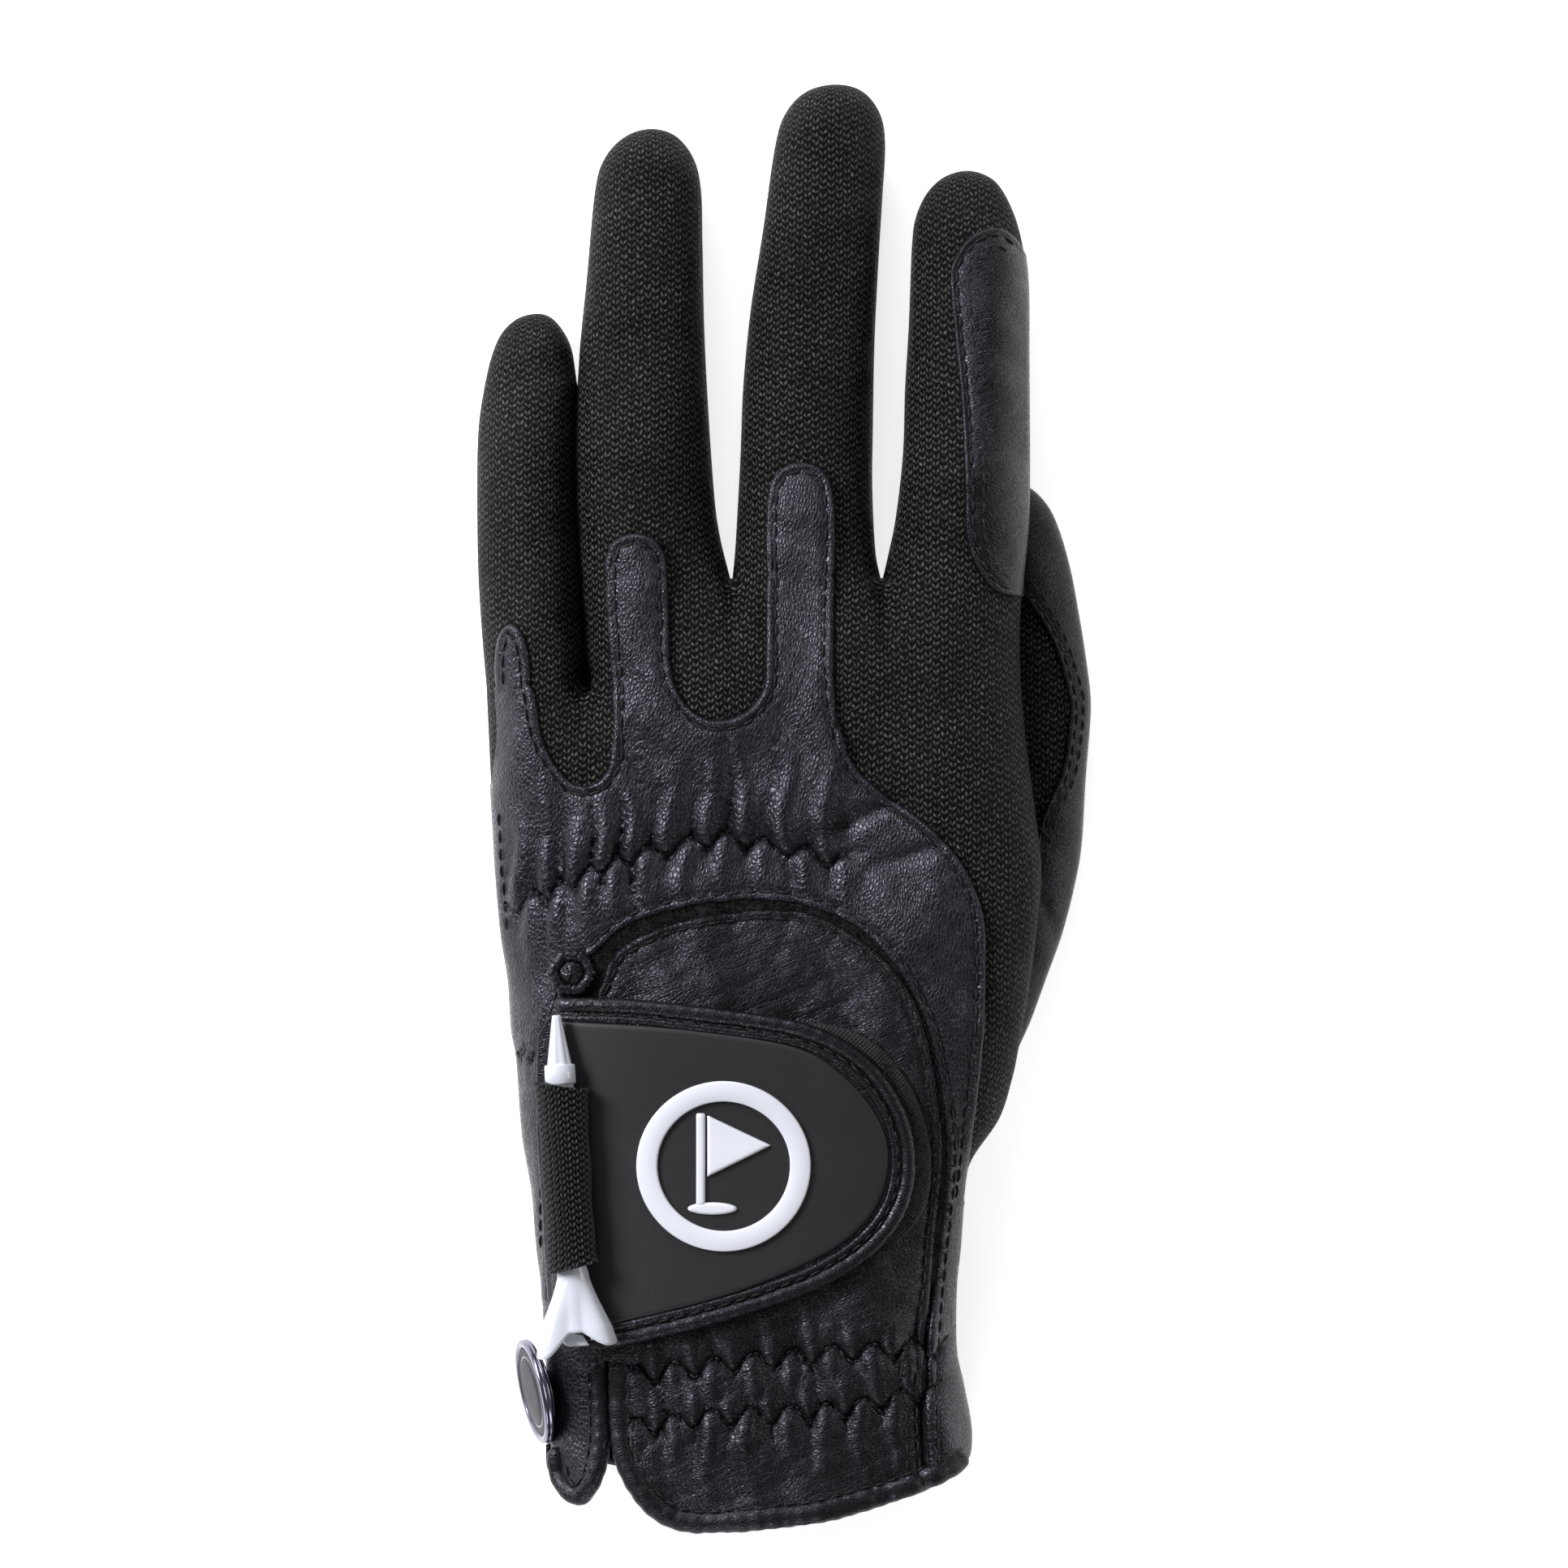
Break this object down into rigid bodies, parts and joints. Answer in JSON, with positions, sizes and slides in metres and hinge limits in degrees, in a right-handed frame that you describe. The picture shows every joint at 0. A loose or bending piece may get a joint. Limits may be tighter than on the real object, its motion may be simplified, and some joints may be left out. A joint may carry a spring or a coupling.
{
  "type": "golf glove",
  "caption": "Left-hand golf glove in black mesh and leather with a hook-and-loop closure tab, a tee in a knitted sleeve and a disc ball marker on the cuff.",
  "frame": {"origin": "centre of the glove's box in plan, on the surface that the palm lies on", "axes": "+Y towards the fingertips, +X towards the thumb, +Z out of the back of the hand"},
  "size_m": [0.1084, 0.2534, 0.0342],
  "materials": {
    "palm_leather": "soft pebbled sheepskin leather",
    "back_mesh": "ribbed stretch knit",
    "patch_leather": "satin pebbled synthetic leather with stitched turned edges",
    "binding_leather": "rolled binding with stitches",
    "elastic": "woven elastic tape",
    "loop_pile": "brushed loop pile",
    "hook_tape": "hook tape",
    "knit_sleeve": "coarse knitted elastic tube",
    "lining": "thin woven lining",
    "thread": "twisted polyester sewing thread",
    "rubber_panel": "smooth matt moulded rubber",
    "emblem_white": "raised moulded satin white",
    "tee_white": "moulded glossy white plastic",
    "marker_enamel": "dark enamel",
    "marker_metal": "polished plated metal"
  },
  "bodies": {
    "hand": {"palm_leather": "palm_leather", "back_mesh": "back_mesh", "knuckle_patch": "patch_leather", "knuckle_elastic": "elastic", "landing_panel": "patch_leather", "loop_patch": "loop_pile", "vent_knot": "binding_leather", "tab_root": "patch_leather", "tee_sleeve": "knit_sleeve", "cuff_panel": "patch_leather", "cuff_lobe": "patch_leather", "cuff_binding": "binding_leather", "lobe_binding": "binding_leather", "cuff_elastic_upper": "elastic", "cuff_elastic_lower": "elastic", "marker_base": "marker_metal", "little_ring_web": "back_mesh"},
    "index_finger": {"index_back": "back_mesh", "index_palm": "palm_leather", "index_fourchette": "back_mesh", "index_patch": "patch_leather"},
    "middle_finger": {"middle_back": "back_mesh", "middle_palm": "palm_leather", "middle_fourchettes": "back_mesh", "middle_tab": "patch_leather"},
    "ring_finger": {"ring_back": "back_mesh", "ring_palm": "palm_leather", "ring_fourchettes": "back_mesh", "ring_tab": "patch_leather"},
    "little_finger": {"little_back": "back_mesh", "little_palm": "palm_leather", "little_fourchette": "back_mesh", "little_tab": "patch_leather"},
    "thumb": {"thumb_leather": "palm_leather", "thumb_mesh": "back_mesh"},
    "closure_tab": {"tab_backing": "lining", "tab_panel": "rubber_panel", "tab_binding": "binding_leather", "tab_emblem": "emblem_white", "hook_pad": "hook_tape"},
    "tee": {"tee": "tee_white"},
    "ball_marker": {"marker_face": "marker_enamel", "marker_rim": "marker_metal"}
  },
  "joints": [
    {"name": "tab_open", "type": "hinge", "parent": "hand", "child": "closure_tab", "pos_m": [-0.02963, -0.064, 0.0245], "axis": [0.064, -0.9949, -0.0781], "range_deg": [0, 70]},
    {"name": "tee_pull", "type": "slide", "parent": "hand", "child": "tee", "axis": [0.0642, -0.9979, 0], "range_m": [0, 0.062]},
    {"name": "marker_pull", "type": "slide", "parent": "hand", "child": "ball_marker", "axis": [-0.9448, -0.2008, 0.2588], "range_m": [0, 0.02]},
    {"name": "index_lift", "type": "hinge", "parent": "hand", "child": "index_finger", "pos_m": [0.031, 0.0397, 0.0266], "axis": [1, 0, 0], "range_deg": [0, 50]},
    {"name": "middle_lift", "type": "hinge", "parent": "hand", "child": "middle_finger", "pos_m": [0.004, 0.0397, 0.0246], "axis": [1, 0, 0], "range_deg": [0, 50]},
    {"name": "ring_lift", "type": "hinge", "parent": "hand", "child": "ring_finger", "pos_m": [-0.022, 0.0397, 0.0246], "axis": [1, 0, 0], "range_deg": [0, 50]},
    {"name": "little_lift", "type": "hinge", "parent": "hand", "child": "little_finger", "pos_m": [-0.044, 0.0217, 0.021], "axis": [1, 0, 0], "range_deg": [0, 50]},
    {"name": "thumb_swing", "type": "hinge", "parent": "hand", "child": "thumb", "pos_m": [0.0395, -0.033, 0.006], "axis": [0, 0, -1], "range_deg": [0, 25]}
  ]
}
